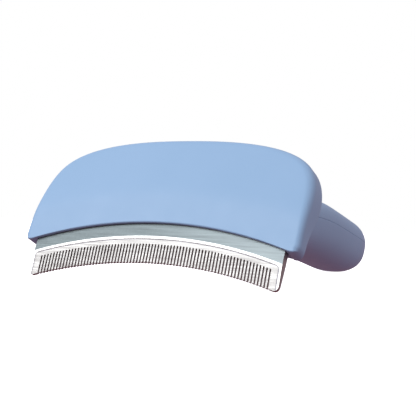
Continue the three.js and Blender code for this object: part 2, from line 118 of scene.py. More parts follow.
# ---- the comb plate's frame ---------------------------------------------------------------------
@dataclass(frozen=True)
class PlateFrame:
    """Turns the comb plate's millimetres into the frame's metres."""

    tilt: float
    back: float
    up: float

    @classmethod
    def from_frame(cls, comb_top: float) -> "PlateFrame":
        """Reads the tilt from the ejector's axis and the place from the comb's own mesh.

        Args:
            comb_top: height of the comb's hidden upper edge above the middle of the teeth.

        Returns:
            The frame of the comb plate.
        """
        axis = next(j for j in frame["joints"] if j["name"] == PRESS)["axis"]
        tilt = float(np.arctan2(-axis[1], -axis[2]))
        mesh = frame["nodes"]["comb_blade"].data
        points = np.empty(len(mesh.vertices) * 3)
        mesh.vertices.foreach_get("co", points)
        _, y, z = points.reshape(-1, 3).T / MM
        turned_y = y * np.cos(tilt) - z * np.sin(tilt)
        turned_z = y * np.sin(tilt) + z * np.cos(tilt)
        return cls(tilt, float(turned_y.min()), float(turned_z.max()) - comb_top)

    def place(self, points: np.ndarray) -> np.ndarray:
        """Plate millimetres to metres in the frame: shift in the plate's axes, then turn about X."""
        x, y, z = np.moveaxis(np.asarray(points, float), -1, 0)
        y, z = y + self.back, z + self.up
        c, s = np.cos(self.tilt), np.sin(self.tilt)
        return np.stack([x, y * c + z * s, z * c - y * s], axis=-1) * MM

    def direction(self, vector: tuple) -> Vector:
        """A direction in the plate's axes, in the frame's."""
        x, y, z = vector
        c, s = float(np.cos(self.tilt)), float(np.sin(self.tilt))
        return Vector((x, y * c + z * s, z * c - y * s))


class Skin:
    """Grids of points, in plate millimetres, welded into one closed mesh."""

    def __init__(self, plate: PlateFrame) -> None:
        """Starts with nothing in it.

        Args:
            plate: the frame in which the points are given.
        """
        self.plate = plate
        self.points: list[np.ndarray] = []
        self.faces: list[np.ndarray] = []
        self.zones: list[np.ndarray] = []
        self.count = 0

    def grids(self, points: np.ndarray, zones: np.ndarray | int = 0) -> None:
        """Adds a batch of grids: each cell of four neighbouring points is one face.

        Args:
            points: an array of shape (grids, rows, columns, 3).
            zones: the material's place in the piece, one number or one for each cell.
        """
        batch, rows, columns = points.shape[:3]
        index = self.count + np.arange(batch * rows * columns).reshape(batch, rows, columns)
        corners = [index[:, :-1, :-1], index[:, :-1, 1:], index[:, 1:, 1:], index[:, 1:, :-1]]
        quads = np.stack(corners, axis=-1)
        self.points.append(points.reshape(-1, 3))
        self.faces.append(quads.reshape(-1, 4))
        self.zones.append(np.broadcast_to(zones, quads.shape[:3]).reshape(-1))
        self.count += batch * rows * columns

    def grid(self, points: np.ndarray, zones: np.ndarray | int = 0, wrap: bool = False) -> None:
        """Adds one grid of shape (rows, columns, 3), closed on itself across its columns if wrap is true."""
        if wrap:
            points = np.concatenate([points, points[:, :1]], axis=1)
        self.grids(points[None], zones if np.isscalar(zones) else zones[None])

    def strip(self, first: np.ndarray, second: np.ndarray, zones: np.ndarray | int = 0) -> None:
        """Adds the band between two lines of as many points."""
        self.grid(np.stack([first, second]), zones)

    def build(self, name: str, crease: float = 32.0) -> bpy.types.Object:
        """Welds the grids where they meet and turns every face outwards.

        Args:
            name: the piece's name.
            crease: edges that turn by more than this many degrees stay sharp.

        Returns:
            The finished object, at the origin.
        """
        mesh = bpy.data.meshes.new(name)
        points = self.plate.place(np.concatenate(self.points))
        mesh.from_pydata(points.tolist(), [], np.concatenate(self.faces).tolist())
        mesh.polygons.foreach_set("material_index", np.concatenate(self.zones).astype(np.int32))
        tidy = bmesh.new()
        tidy.from_mesh(mesh)
        bmesh.ops.remove_doubles(tidy, verts=tidy.verts, dist=2e-3 * MM)
        bmesh.ops.recalc_face_normals(tidy, faces=tidy.faces)
        tidy.to_mesh(mesh)
        tidy.free()
        piece = bpy.data.objects.new(name, mesh)
        bpy.context.scene.collection.objects.link(piece)
        smooth(piece, crease)
        return piece


def smooth(piece: bpy.types.Object, crease: float) -> None:
    """Shades a piece smooth except at edges sharper than crease degrees."""
    mesh = piece.data
    mesh.polygons.foreach_set("use_smooth", np.ones(len(mesh.polygons), bool))
    mesh.set_sharp_from_angle(angle=float(np.radians(crease)))
    mesh.update()


def settle(piece: bpy.types.Object) -> None:
    """Turns a piece's live modifiers into its mesh."""
    graph = bpy.context.evaluated_depsgraph_get()
    made = bpy.data.meshes.new_from_object(piece.evaluated_get(graph))
    old = piece.data
    piece.modifiers.clear()
    piece.data = made
    bpy.data.meshes.remove(old)
    made.name = piece.name


def soften(piece: bpy.types.Object, width: float, angle: float = 40.0) -> None:
    """Rounds every edge sharper than angle degrees by width millimetres."""
    bevel = piece.modifiers.new("edges", "BEVEL")
    bevel.width = width * MM
    bevel.segments = 2
    bevel.limit_method = "ANGLE"
    bevel.angle_limit = float(np.radians(angle))
    settle(piece)


class Work(Enum):
    """What a boolean does with its tools."""

    JOIN = "UNION"
    CUT = "DIFFERENCE"


def work(piece: bpy.types.Object, how: Work, tools: list[bpy.types.Object]) -> None:
    """Joins tools to a piece, or cuts them from it, and removes them.

    Args:
        piece: the piece that is kept.
        how: join or cut.
        tools: closed meshes, used in order.
    """
    for tool in tools:
        boolean = piece.modifiers.new(how.name.lower(), "BOOLEAN")
        boolean.operation = how.value
        boolean.solver = "EXACT"
        boolean.object = tool
    settle(piece)
    for tool in tools:
        bpy.data.objects.remove(tool)


def prism(plate: PlateFrame, outline: list[tuple], low: float, high: float) -> bpy.types.Object:
    """A cutting block of any outline, upright in the plate's frame.

    Args:
        plate: the comb plate's frame.
        outline: (x, y) corners, anticlockwise from above.
        low: height of its foot.
        high: height of its top.

    Returns:
        The closed block.
    """
    corners = np.array(outline, float)
    count = len(corners)
    points = np.concatenate([np.column_stack([corners, np.full(count, z)]) for z in (low, high)])
    ring = np.arange(count)
    ahead = np.roll(ring, -1)
    sides = np.column_stack([ring, ahead, ahead + count, ring + count])
    mesh = bpy.data.meshes.new("prism")
    mesh.from_pydata(
        plate.place(points).tolist(), [], [ring[::-1].tolist(), (ring + count).tolist(), *sides.tolist()]
    )
    made = bpy.data.objects.new("prism", mesh)
    bpy.context.scene.collection.objects.link(made)
    return made


def turned(
    plate: PlateFrame, profile: list[tuple], base: tuple, axis: str = "z", sides: int = 48
) -> bpy.types.Object:
    """A turned solid: a profile of (radius, distance) carried round an axis.

    Args:
        plate: the frame of the base point.
        profile: points from one end of the axis to the other, starting and ending at radius 0.
        base: where distance 0 lies, in plate millimetres.
        axis: "y" or "z".
        sides: how many facets go round.

    Returns:
        The closed object.
    """
    radius, along = np.array(profile, float).T
    angle = np.linspace(0, 2 * np.pi, sides, endpoint=False)
    a, b = np.outer(radius, np.cos(angle)), np.outer(radius, np.sin(angle))
    along = np.repeat(along[:, None], sides, axis=1)
    points = np.stack([a, b, along] if axis == "z" else [a, along, b], axis=-1)
    skin = Skin(plate)
    skin.grid(points + np.array(base), wrap=True)
    return skin.build("turned")


def rod(plate: PlateFrame, base: tuple, radius: float, length: float, axis: str = "z") -> bpy.types.Object:
    """A plain round tool for joining or cutting."""
    return turned(plate, [(0, 0), (radius, 0), (radius, length), (0, length)], base, axis)


# ---- finishes -----------------------------------------------------------------------------------
def linear(hex_colour: str) -> tuple:
    """An sRGB hex colour as linear red, green, blue and alpha."""
    srgb = np.array([int(hex_colour[i : i + 2], 16) for i in (0, 2, 4)]) / 255.0
    rgb = np.where(srgb <= 0.04045, srgb / 12.92, ((srgb + 0.055) / 1.055) ** 2.4)
    return (*map(float, rgb), 1.0)


def add_node(tree: bpy.types.NodeTree, kind: str, values: dict | None = None, links: dict | None = None,
             **settings: object) -> bpy.types.Node:
    """Adds one node to a tree.

    Args:
        tree: where it goes.
        kind: the node's type.
        values: socket to its fixed value.
        links: socket to the output that feeds it.
        settings: the node's own properties.

    Returns:
        The node.
    """
    node = tree.nodes.new(kind)
    for key, value in settings.items():
        setattr(node, key, value)
    for socket, value in (values or {}).items():
        node.inputs[socket].default_value = value
    for socket, output in (links or {}).items():
        tree.links.new(output, node.inputs[socket])
    return node


def new_material(name: str) -> tuple:
    """An empty material with its output.

    Args:
        name: the real material's name.

    Returns:
        The material, its tree, the output node and the Object coordinates.
    """
    material = bpy.data.materials.new(name)
    material.use_nodes = True
    tree = material.node_tree
    tree.nodes.clear()
    output = add_node(tree, "ShaderNodeOutputMaterial")
    coordinates = add_node(tree, "ShaderNodeTexCoord")
    return material, tree, output, coordinates.outputs["Object"]


def per_metre(size_mm: float) -> float:
    """The scale of a noise whose features are that many millimetres across, on coordinates in metres."""
    return 1.0 / (size_mm * MM)


def mottle(tree: bpy.types.NodeTree, place: bpy.types.NodeSocket, size_mm: float, low: float,
           high: float, detail: float = 3.0) -> bpy.types.NodeSocket:
    """A noise of a real size, spread between two values.

    Args:
        tree: where it goes.
        place: the coordinates.
        size_mm: how far apart its blotches are.
        low: the value of its dark parts.
        high: the value of its light parts.
        detail: how many finer layers it has.

    Returns:
        The output that holds the value.
    """
    noise = add_node(
        tree, "ShaderNodeTexNoise", {"Scale": per_metre(size_mm), "Detail": detail}, {"Vector": place}
    )
    levels = {"From Min": 0.3, "From Max": 0.7, "To Min": low, "To Max": high}
    return add_node(tree, "ShaderNodeMapRange", levels, {"Value": noise.outputs["Fac"]}).outputs["Result"]


@dataclass(frozen=True)
class MouldedAbs:
    """Injection moulded ABS with a fine spark-eroded grain, which gives a soft, even sheen."""

    name: str
    colour: str
    shade: str
    roughness: float = 0.42
    grain_mm: float = 0.45  # coarser than the real 0.1 mm grain, so that it can be seen
    grain_depth: float = 0.012
    blotch_mm: float = 38.0
    specular: float = 0.3

    def material(self) -> bpy.types.Material:
        """Colour drifts a little over centimetres, and sheen over millimetres, as on handled plastic."""
        material, tree, output, place = new_material(self.name)
        blend = mottle(tree, place, self.blotch_mm, 0.0, 1.0)
        colour = colour_between(tree, self.colour, self.shade, blend)
        rough = mottle(tree, place, 6.0, self.roughness - 0.04, self.roughness + 0.04)
        grain = mottle(tree, place, self.grain_mm, 0.0, 1.0, detail=2.0)
        bump = add_node(
            tree, "ShaderNodeBump", {"Strength": 0.35, "Distance": self.grain_depth * MM}, {"Height": grain}
        )
        shader = add_node(
            tree,
            "ShaderNodeBsdfPrincipled",
            {"IOR": 1.53, "Specular IOR Level": self.specular},
            {"Base Color": colour, "Roughness": rough, "Normal": bump.outputs["Normal"]},
        )
        tree.links.new(shader.outputs["BSDF"], output.inputs["Surface"])
        return material


def colour_between(tree: bpy.types.NodeTree, first: str, second: str,
                   blend: bpy.types.NodeSocket) -> bpy.types.NodeSocket:
    """A mix of two hex colours.

    Args:
        tree: where it goes.
        first: the colour at 0.
        second: the colour at 1.
        blend: the output that mixes them.

    Returns:
        The mixed colour's output.
    """
    ramp = add_node(tree, "ShaderNodeValToRGB", links={"Fac": blend})
    ramp.color_ramp.elements[0].color = linear(first)
    ramp.color_ramp.elements[1].color = linear(second)
    return ramp.outputs["Color"]


@dataclass(frozen=True)
class WorkedSteel:
    """Stainless steel with the marks of its last working, long along the comb and short across it."""

    name: str
    colour: str
    shade: str
    roughness: float = 0.3
    streak_mm: tuple = (14.0, 0.35)  # length and width of a grinding mark
    speck_mm: float = 0.5
    mark_depth: float = 0.004
    wear: float = 0.25  # how much the roughness changes from place to place, as a share
    anisotropy: float = 0.3
    painted_reflection_end: str = ""  # the colour towards +X: a painted reflection, the plate lighter at its right end

    def material(self) -> bpy.types.Material:
        """Streaks along X vary the sheen, and fine specks break up the reflection."""
        material, tree, output, place = new_material(self.name)
        length, width = self.streak_mm
        stretched = add_node(
            tree,
            "ShaderNodeMapping",
            {"Scale": (per_metre(length), per_metre(width), per_metre(width))},
            {"Vector": place},
        )
        noise = add_node(
            tree, "ShaderNodeTexNoise", {"Scale": 1.0, "Detail": 4.0}, {"Vector": stretched.outputs["Vector"]}
        )
        speck = mottle(tree, place, self.speck_mm, 0.0, 1.0, detail=1.0)
        both = add_node(tree, "ShaderNodeMath", {1: 0.5}, {0: noise.outputs["Fac"]}, operation="MULTIPLY")
        marks = add_node(
            tree, "ShaderNodeMath", {2: 0.5}, {0: speck, 1: both.outputs[0]}, operation="MULTIPLY_ADD"
        )
        rough = add_node(
            tree,
            "ShaderNodeMapRange",
            {
                "From Min": 0.3,
                "From Max": 0.7,
                "To Min": self.roughness * (1 - self.wear),
                "To Max": self.roughness * (1 + self.wear),
            },
            {"Value": noise.outputs["Fac"]},
        )
        bump = add_node(
            tree,
            "ShaderNodeBump",
            {"Strength": 0.5, "Distance": self.mark_depth * MM},
            {"Height": marks.outputs[0]},
        )
        colour = colour_between(tree, self.shade, self.colour, speck)
        # painted reflection: the colour lightens towards +X along the plate
        if self.painted_reflection_end:
            along = add_node(tree, "ShaderNodeSeparateXYZ", links={"Vector": place}).outputs["X"]
            reach = add_node(
                tree, "ShaderNodeMapRange", {"From Min": -5 * MM, "From Max": 45 * MM}, {"Value": along}
            )
            colour = add_node(
                tree,
                "ShaderNodeMixRGB",
                {"Color2": linear(self.painted_reflection_end)},
                {"Fac": reach.outputs["Result"], "Color1": colour},
            ).outputs["Color"]
        shader = add_node(
            tree,
            "ShaderNodeBsdfPrincipled",
            {"Metallic": 1.0, "Anisotropic": self.anisotropy},
            {
                "Base Color": colour,
                "Roughness": rough.outputs["Result"],
                "Normal": bump.outputs["Normal"],
            },
        )
        tree.links.new(shader.outputs["BSDF"], output.inputs["Surface"])
        return material


@dataclass(frozen=True)
class Finishes:
    """Every finish on the tool, made once."""

    blue: bpy.types.Material
    grey: bpy.types.Material
    button: bpy.types.Material
    blasted: bpy.types.Material
    bevel: bpy.types.Material
    scribed: bpy.types.Material
    ground: bpy.types.Material
    cut_steel: bpy.types.Material
    strip: bpy.types.Material
    wire: bpy.types.Material
    plated: bpy.types.Material

    @classmethod
    def make(cls) -> "Finishes":
        """Makes the materials."""
        return cls(
            blue=MouldedAbs("pale blue satin ABS", "9BC0DE", "97BDDB").material(),
            grey=MouldedAbs("grey acetal", "565C66", "4E545E", roughness=0.5).material(),
            button=MouldedAbs("grey gloss ABS", "4C525C", "474D57", roughness=0.3).material(),
            blasted=WorkedSteel(
                "blasted stainless steel", "727A79", "6C7473", 0.5, mark_depth=0.002, wear=0.1,
                # painted reflection: a lighter steel colour towards the plate's right end
                painted_reflection_end="878F8E",
            ).material(),
            # painted highlight: the bevel band is coloured far lighter than the steel around it, though its
            # slope is the ground zone's
            bevel=WorkedSteel("bevel steel with painted highlight", "C2BFB8", "BCB9B2", roughness=0.3).material(),
            # painted shade: the scribed groove is coloured darker than the steel around it
            scribed=WorkedSteel("scribed line steel with painted shade", "8B888A", "838082", roughness=0.5).material(),
            ground=WorkedSteel("ground stainless steel", "A4A19B", "9F9C96", roughness=0.42).material(),
            cut_steel=WorkedSteel("wire cut steel", "B2ADA8", "A6A19C", roughness=0.45).material(),
            strip=WorkedSteel("rolled stainless strip", "A9AFB2", "9DA3A6", roughness=0.35).material(),
            wire=WorkedSteel("drawn spring wire", "A5A7AA", "97999C", roughness=0.25).material(),
            plated=WorkedSteel("zinc plated steel", "9FA3A6", "909497", roughness=0.3).material(),
        )


def dress(piece: bpy.types.Object, *materials: bpy.types.Material) -> None:
    """Gives a piece its materials, in the order of its zones."""
    zones = np.zeros(len(piece.data.polygons), np.int32)
    piece.data.polygons.foreach_get("material_index", zones)
    piece.data.materials.clear()
    for material in materials:
        piece.data.materials.append(material)
    piece.data.polygons.foreach_set("material_index", np.minimum(zones, len(materials) - 1))


def enter(piece: bpy.types.Object, body: str, slot: str, *nodes: str) -> None:
    """Puts a finished piece on its body.

    Args:
        piece: the finished piece.
        body: the body that it rides on.
        slot: the record's material slot; not used.
        nodes: the CAD nodes that it stands for.
    """
    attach(piece, body)
    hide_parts(*nodes)
    log.info("%s: %d faces for %s", piece.name, len(piece.data.polygons), ", ".join(nodes))


# ---- the comb -----------------------------------------------------------------------------------
@dataclass
class Comb:
    """The steel plate with its row of fine teeth."""

    half_width: float = 50.3
    thick: float = 3.0
    top: float = 19.0
    slots: int = 74
    pitch: float = 1.27
    slot_width: float = 0.62
    slot_top: float = 3.3
    tip: float = -3.5
    ridge: float = 6.1
    front_fall: float = 0.12
    back_fall: float = 0.07
    land_radius: float = 2.2
    line: float = 4.95  # the scribed line that borders the ground front; its darker colour is painted shade in the groove
    line_inside: float = 0.9  # its distance from the plate's ends
    line_corner: float = 1.2
    line_width: float = 0.4
    line_depth: float = 0.06
    tip_round: float = 0.08
    screw_x: tuple = (-33.0, 0.0, 33.0)
    screw_rise: float = 14.9
    sink_mouth: float = 2.9  # radius of the sunk holes at the front
    sink_shank: float = 1.75  # and where the screws' shanks pass
    sink_depths: tuple = (0.1, 1.9)  # where the cone starts and ends
    rows: tuple = (
        *(19.0, 14.0, 11.0, 9.0, 7.4, 6.4, 6.1, 5.95, 5.6, 5.3),
        *(5.12, 5.03, 4.95, 4.87, 4.78, 4.55, 4.2, 3.85, 3.6, 3.3),
    )  # heights of the mesh's rows, closest together at the ridge and at the scribed line
    arch_start: float = 4.2  # below this the rows bend towards the slots' arched roofs
    arch_span: float = 0.9

    def columns(self) -> tuple:
        """Places across the comb: five for each slot, one more in each tooth, and several on each end land.

        Returns:
            The places, and for each how far it is from its slot's middle (infinite on teeth and lands).
        """
        middles = (np.arange(self.slots) - (self.slots - 1) / 2) * self.pitch
        across = self.slot_width / 2 * np.array([-1.0, -0.71, 0.0, 0.71, 1.0])
        in_slots = (middles[:, None] + across).ravel()
        from_middle = np.tile(across, self.slots)
        teeth = middles[:-1] + self.pitch / 2
        inner = middles[-1] + self.slot_width / 2
        shares = np.array([0.3, 0.55, 0.68, 0.74, 0.79, 0.86, 0.93, 1.0])
        land = inner + (self.half_width - inner) * shares
        places = np.concatenate([in_slots, teeth, land, -land])
        offsets = np.concatenate([from_middle, np.full(len(teeth) + 2 * len(land), np.inf)])
        order = np.argsort(places)
        return places[order], offsets[order]

    def inside_line(self, x: np.ndarray, s: np.ndarray) -> np.ndarray:
        """Signed distance inside the scribed line: a straight top, straight sides and round corners."""
        r = self.line_corner
        a = self.half_width - self.line_inside - np.abs(x)
        b = self.line - s
        near = np.maximum(r - a, 0.0) ** 2 + np.maximum(r - b, 0.0) ** 2
        return np.where((a < r) & (b < r), r - np.sqrt(near), np.minimum(a, b))

    def front(self, x: np.ndarray, s: np.ndarray) -> np.ndarray:
        """Depth of the front: flat above the ridge, ground back below it, with the scribed line sunk in."""
        groove = np.exp(-((self.inside_line(x, s) / (self.line_width * 0.5)) ** 2))
        return self.front_fall * np.maximum(self.ridge - s, 0.0) + self.line_depth * groove

    def rear(self, s: np.ndarray) -> np.ndarray:
        """Depth of the back: flat above the ridge and ground forward below it."""
        return self.thick - self.back_fall * np.maximum(self.ridge - s, 0.0)

    def foot(self, x: np.ndarray) -> np.ndarray:
        """Height of the lower edge: the tips, turning up in a quarter circle at the ends."""
        over = np.clip(np.abs(x) - (self.half_width - self.land_radius), 0.0, self.land_radius)
        return self.tip + self.land_radius - np.sqrt(self.land_radius**2 - over**2)

    def sheet(self, x: np.ndarray, s: np.ndarray, y: np.ndarray) -> np.ndarray:
        """Points at a place across, a height above the teeth's arc and a depth."""
        x, s, y = np.broadcast_arrays(x, s, y)
        return np.stack([x, y, s - sag(x)], axis=-1)

    def zone(self, points: np.ndarray) -> np.ndarray:
        """Which finish each cell of a front grid has: 0 blasted, 1 bevel band with painted highlight, 2 line
        with painted shade, 3 ground.
        """
        middle = (points[..., :-1, :-1, :] + points[..., 1:, 1:, :]) / 2
        x = middle[..., 0]
        s = middle[..., 2] + sag(x)
        inside = self.inside_line(x, s)
        below = np.where(inside < -self.line_width / 2, 1, np.where(inside < self.line_width / 2, 2, 3))
        return np.where(s > self.ridge, 0, below)

    def build(self, plate: PlateFrame, looks: Finishes) -> bpy.types.Object:
        """A closed plate whose lower edge steps from slot to slot, and a closed sleeve for each tooth.

        Args:
            plate: the comb plate's frame.
            looks: the finishes, which go on before the screw holes so that each zone keeps its own.

        Returns:
            The comb.
        """
        skin = Skin(plate)
        x, offset = self.columns()
        half = self.slot_width / 2
        root = self.slot_top - half
        near = np.minimum(offset, half)
        arch = np.sqrt(np.maximum(half**2 - near**2, 0.0))
        heights = np.array(self.rows)
        blend = smoothstep((self.arch_start - heights) / self.arch_span)[:, None]
        s = heights[:, None] * (1 - blend) + (root + arch)[None] * blend
        x_rows = np.broadcast_to(x, s.shape)
        front = self.sheet(x_rows, s, self.front(x_rows, s))
        rear = self.sheet(x_rows, s, self.rear(s))
        skin.grid(front, self.zone(front))
        skin.grid(rear, 4)
        skin.strip(front[0], rear[0], 4)
        skin.strip(front[:, 0], rear[:, 0], 4)
        skin.strip(front[:, -1], rear[:, -1], 4)
        in_slot = np.abs(offset) <= half + 1e-9
        self._roofs(skin, front[-1], rear[-1], in_slot)
        self._teeth(skin, x, root)
        comb = skin.build("comb", crease=24)
        # zone 1 is a painted highlight on the bevel band
        # zone 2 is painted shade in the scribed line
        dress(comb, looks.blasted, looks.bevel, looks.scribed, looks.ground, looks.cut_steel)
        mouth, shank = self.sink_mouth, self.sink_shank
        start, end = self.sink_depths
        sink = [(0, -1), (mouth, -1), (mouth, start), (shank, end), (shank, 4), (0, 4)]
        places = [(px, 0.0, self.screw_rise - float(sag(px))) for px in self.screw_x]
        work(comb, Work.CUT, [turned(plate, sink, place, "y") for place in places])
        return comb

    def _roofs(self, skin: Skin, front: np.ndarray, rear: np.ndarray, in_slot: np.ndarray) -> None:
        """Adds the arched roof of every slot, from the front's lower edge to the back's."""
        roof_front = front[in_slot].reshape(self.slots, 5, 3)
        roof_rear = rear[in_slot].reshape(self.slots, 5, 3)
        skin.grids(np.stack([roof_front, roof_rear], axis=1), 4)

    def _teeth(self, skin: Skin, x: np.ndarray, root: float) -> None:
        """Adds the teeth and end lands below the roots, each with a front, a back, two sides and a foot."""
        middles = (np.arange(self.slots) - (self.slots - 1) / 2) * self.pitch
        edge = self.slot_width / 2
        teeth = np.stack([middles[:-1] + edge, middles[:-1] + self.pitch / 2, middles[1:] - edge], axis=1)
        land = x[x >= middles[-1] + edge - 1e-9]
        for places in (teeth, land[None], -land[None, ::-1]):
            self._sleeves(skin, places, root)

    def _sleeves(self, skin: Skin, places: np.ndarray, root: float) -> None:
        """Adds a batch of teeth as sleeves.

        Args:
            skin: the comb's skin.
            places: places across, one row for each tooth.
            root: where the sleeves begin.
        """
        down = np.array([0.0, 0.15, 0.3, 0.45, 0.6, 0.75, 0.87, 0.95, 0.985, 1.0])[None, :, None]
        x = places[:, None, :]
        foot = self.foot(x)
        s = root + (foot - root) * down
        nip = round_over(s - foot, np.full_like(s, self.tip_round))
        front = self.sheet(x, s, self.front(x, s) + nip)
        rear = self.sheet(x, s, self.rear(s) - nip)
        skin.grids(front, self.zone(front))
        skin.grids(rear, 4)
        for side in (0, -1):
            skin.grids(np.stack([front[:, :, side], rear[:, :, side]], axis=2), 4)
        skin.grids(np.stack([front[:, -1], rear[:, -1]], axis=1), 4)


# ---- the head -----------------------------------------------------------------------------------
@dataclass
class Head:
    """The outline and depths that the cover and the rear housing share."""

    half_width: float = 55.6
    side: float = 5.0
    crown: float = 42.0
    side_power: float = 2.5
    crown_power: float = 5.2
    edge: float = 10.8
    corner: float = 3.6
    face: float = -1.5
    crease_top: float = 22.0
    crease_radius: float = 210.0
    recline: float = 0.2
    crease_soft: float = 1.6
    rim: float = 10.0
    rim_drop: float = 5.9
    rim_start: float = 4.0
    rim_span: float = 22.0
    centre_z: float = 25.0

    def outside(self, x: np.ndarray, z: np.ndarray) -> np.ndarray:
        """How far a point lies outside the outline: a powered crown, closed below by the hollow arc.

        Args:
            x: places across.
            z: heights.

        Returns:
            The distances, less than 0 inside, with a round corner where the crown and the arc meet.
        """
        rise = np.maximum(z - self.side, 0.0) / self.crown
        level = (np.abs(x) / self.half_width) ** self.side_power + rise**self.crown_power
        over = (level - 1.0) * self.half_width / self.side_power + self.corner
        below = self.edge - sag(np.clip(x, -90, 90)) - z + self.corner
        both = (over > 0) & (below > 0)
        return np.where(both, np.hypot(over, below), np.maximum(over, below)) - self.corner

    def outline(self, angles: np.ndarray) -> np.ndarray:
        """The outline's distance from its centre in each direction, by halving."""
        inner, outer = np.zeros_like(angles), np.full_like(angles, 80.0)
        for _ in range(45):
            middle = (inner + outer) / 2
            out = self.outside(middle * np.cos(angles), self.centre_z + middle * np.sin(angles)) > 0
            inner, outer = np.where(out, inner, middle), np.where(out, middle, outer)
        return inner

    def ring(self, angles: np.ndarray) -> tuple:
        """The outline's points and outward normals in each direction.

        Args:
            angles: directions from the outline's centre.

        Returns:
            x, z, and the normals' x and z.
        """
        r = self.outline(angles)
        x, z = r * np.cos(angles), self.centre_z + r * np.sin(angles)
        step = 1e-3
        ahead, behind = self.outline(angles + step), self.outline(angles - step)
        dx = ahead * np.cos(angles + step) - behind * np.cos(angles - step)
        dz = ahead * np.sin(angles + step) - behind * np.sin(angles - step)
        length = np.hypot(dx, dz)
        return x, z, dz / length, -dx / length

    def spread(self, count: int, turn_weight: float = 5.0) -> np.ndarray:
        """Directions whose points are even along the outline, and closer where it turns.

        Args:
            count: how many directions.
            turn_weight: millimetres of outline that one radian of turning counts as.

        Returns:
            The directions, from straight down round to straight down.
        """
        fine = np.linspace(-np.pi / 2, 1.5 * np.pi, 6001)
        x, z, nx, nz = self.ring(fine)
        turn = np.hypot(np.diff(nx), np.diff(nz))
        travelled = np.concatenate([[0.0], np.cumsum(np.hypot(np.diff(x), np.diff(z)) + turn_weight * turn)])
        wanted = np.linspace(0.0, travelled[-1], count, endpoint=False)
        return np.interp(wanted, travelled, fine)

    def face_depth(self, x: np.ndarray, z: np.ndarray) -> np.ndarray:
        """Depth of the face: upright below a soft crease and reclined above it."""
        crease = self.crease_top - (self.crease_radius - np.sqrt(self.crease_radius**2 - np.square(x)))
        above = (z - crease) / self.crease_soft
        return self.face + self.recline * self.crease_soft * np.logaddexp(0.0, above)

    def rim_depth(self, x: np.ndarray, z: np.ndarray) -> np.ndarray:
        """Depth of the rear rim: level, and coming forward at the lower corners."""
        low = 1.0 - smoothstep((z - self.rim_start) / self.rim_span)
        return self.rim - self.rim_drop * low * (np.abs(x) / self.half_width) ** 10


@dataclass
class Cover:
    """The moulded front of the head: a thin shell with soft sides and a crisp lower edge."""

    head: Head
    wall: float = 1.2
    side_wall: float = 2.0
    soft: float = 3.1
    low_soft: float = 2.1  # the sides' edge is tighter low down
    top_soft: float = 2.6
    crisp: float = 0.55
    rim_round: float = 0.5
    columns: int = 420
    mouth_half: float = 50.6
    mouth_top: float = 19.3
    mouth_low: float = -12.0
    mouth_back: float = 40.0
    gap: float = 0.3

    def edge_radius(self, normal_z: np.ndarray, z: np.ndarray) -> np.ndarray:
        """Radius of the front edge: crisp where the outline faces down, soft at the sides, less on top."""
        sideways = smoothstep((normal_z + 0.985) / 0.4)
        upper = smoothstep((normal_z - 0.2) / 0.7)
        soft = self.low_soft + (self.soft - self.low_soft) * smoothstep((z - 6.0) / 24.0)
        return self.crisp + (soft - self.crisp) * sideways - (self.soft - self.top_soft) * upper

    def build(self, plate: PlateFrame) -> bpy.types.Object:
        """Rings from the middle of the face, round the edge and the rim, and back along the inside.

        Args:
            plate: the comb plate's frame.

        Returns:
            The cover.
        """
        head = self.head
        angles = head.spread(self.columns)
        ox, oz, nx, nz = head.ring(angles)
        reach = np.hypot(ox, oz - head.centre_z)
        lean = np.maximum(nx * np.cos(angles) + nz * np.sin(angles), 0.3)
        radius = self.edge_radius(nz, oz)
        inner_radius = np.maximum(radius - self.side_wall, 0.4)
        quarter = np.linspace(0.0, np.pi / 2, 10)
        shares = np.linspace(0.0, 1.0, 46) ** 0.85

        def at(inset: np.ndarray) -> tuple:
            """Points set in from the outline along their own direction."""
            scale = 1.0 - inset / lean / reach
            return ox * scale, head.centre_z + (oz - head.centre_z) * scale

        def face_rows(back: float, wall: float, bend: np.ndarray) -> np.ndarray:
            """The face from its middle to the start of its edge's round, then the round."""
            start = 1.0 - (wall + bend) / lean / reach
            flat_x, flat_z = ox * start * shares[:, None], (oz - head.centre_z) * start * shares[:, None]
            inset = wall + bend * (1.0 - np.sin(quarter[1:, None]))
            round_x, round_z = at(inset)
            x = np.concatenate([flat_x, round_x])
            z = np.concatenate([flat_z + head.centre_z, round_z])
            depth = np.concatenate([np.full(flat_x.shape, 1e3), inset - wall])
            return np.stack([x, head.face_depth(x, z) + back + round_over(depth, bend), z], axis=-1)

        rim = head.rim_depth(ox, oz)
        outer = face_rows(0.0, 0.0, radius)
        start = outer[-1]
        end = np.stack([ox, np.maximum(rim - self.rim_round, start[:, 1] + 0.1), oz], axis=-1)
        side = span(start, end, np.linspace(0, 1, 10)[1:])
        turn = np.linspace(0, np.pi / 2, 5)[1:, None]
        rim_x, rim_z = at(self.rim_round * (1 - np.cos(turn)))
        lip = np.stack([rim_x, rim - self.rim_round * (1 - np.sin(turn)), rim_z], axis=-1)
        inner_x, inner_z = at(np.full_like(ox, self.side_wall))
        inner_rim = np.stack([inner_x, rim, inner_z], axis=-1)
        inside = face_rows(self.wall, self.side_wall, inner_radius)[::-1]
        skin = Skin(plate)
        rows = np.concatenate([outer, side, lip, inner_rim[None], inside])
        skin.grid(rows, wrap=True)
        cover = skin.build("cover")
        half, front, back = self.mouth_half, -self.gap, self.mouth_back
        mouth = [(-half, front), (half, front), (half, back), (-half, back)]
        work(cover, Work.CUT, [prism(plate, mouth, self.mouth_low, self.mouth_top)])
        smooth(cover, crease=32)
        return cover


